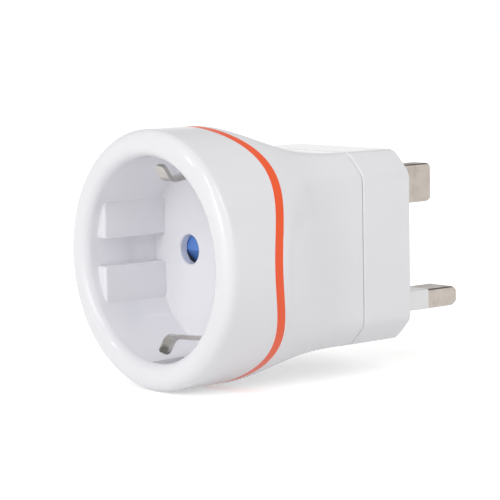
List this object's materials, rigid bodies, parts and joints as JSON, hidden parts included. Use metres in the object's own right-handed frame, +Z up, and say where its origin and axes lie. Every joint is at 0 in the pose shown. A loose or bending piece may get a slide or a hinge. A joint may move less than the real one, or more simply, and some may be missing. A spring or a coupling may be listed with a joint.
{
  "type": "travel adapter",
  "caption": "White travel adapter: round recessed socket with sprung earth clips and an orange wavy trim line, square plug end with flat pins.",
  "frame": {"origin": "on the flat rear face, halfway between the centres of the line and neutral pins", "axes": "+Y the way the plug pins point, into the wall; +Z up, towards the earth pin; +X to the side of the line pin, the side that the picture shows"},
  "size_m": [0.0498, 0.0737, 0.0498],
  "materials": {
    "white_housing": "polished moulded plastic, bright white",
    "orange_trim": "orange translucent-looking moulded trim",
    "blue_shutter": "blue moulded plastic",
    "white_sleeve": "insulating sleeve moulded on the pin",
    "natural_carrier": "plain moulded insulating plastic",
    "nickel_pins": "nickel-plated brass, satin to bright",
    "nickel_clips": "nickel-plated spring strip",
    "brass_parts": "plain brass strip and turned brass",
    "spring_steel": "hardened steel wire and strip",
    "screw_steel": "zinc-plated steel",
    "fuse_ceramic": null,
    "fuse_caps": "nickel-plated brass caps",
    "fuse_wire": "fine silvered wire"
  },
  "bodies": {
    "adapter": {"front_housing": "white_housing", "trim_ring": "orange_trim", "rear_shell": "white_housing", "plug_base": "white_housing", "earth_pin": "nickel_pins", "line_pin": "nickel_pins", "neutral_pin": "nickel_pins", "line_pin_sleeve": "white_sleeve", "neutral_pin_sleeve": "white_sleeve", "contact_carrier": "natural_carrier", "shutter_spring": "spring_steel", "line_contact": "brass_parts", "neutral_contact": "brass_parts", "contact_springs": "spring_steel", "earth_strap": "brass_parts", "earth_link": "brass_parts", "neutral_busbar": "brass_parts", "fuse_clip_line": "brass_parts", "fuse_clip_load": "brass_parts", "pin_rivets": "brass_parts", "housing_screws": "screw_steel"},
    "shutter_flap": {"shutter": "blue_shutter"},
    "upper_clip": {"earth_clip_upper": "nickel_clips"},
    "lower_clip": {"earth_clip_lower": "nickel_clips"},
    "fuse_drawer": {"fuse_carrier": "white_housing", "fuse_tube": "fuse_ceramic", "fuse_caps": "fuse_caps", "fuse_element": "fuse_wire"}
  },
  "joints": [
    {"name": "shutter_turn", "type": "hinge", "parent": "adapter", "child": "shutter_flap", "pos_m": [0, -0.0302, 0.0119], "axis": [0, 1, 0], "range_deg": [0, 41], "stiffness_Nm_per_rad": 0.002, "springref_deg": -20.05, "deforming": ["shutter_spring"]},
    {"name": "earth_clip_upper_flex", "type": "hinge", "parent": "adapter", "child": "upper_clip", "pos_m": [0, -0.0302, 0.0292], "axis": [-1, 0, 0], "range_deg": [0, 6], "stiffness_Nm_per_rad": 1.1},
    {"name": "earth_clip_lower_flex", "type": "hinge", "parent": "adapter", "child": "lower_clip", "pos_m": [0, -0.0302, -0.0054], "axis": [1, 0, 0], "range_deg": [0, 6], "stiffness_Nm_per_rad": 1.1},
    {"name": "fuse_drawer_slide", "type": "slide", "parent": "adapter", "child": "fuse_drawer", "axis": [0, 1, 0], "range_m": [0, 0.0125]}
  ]
}
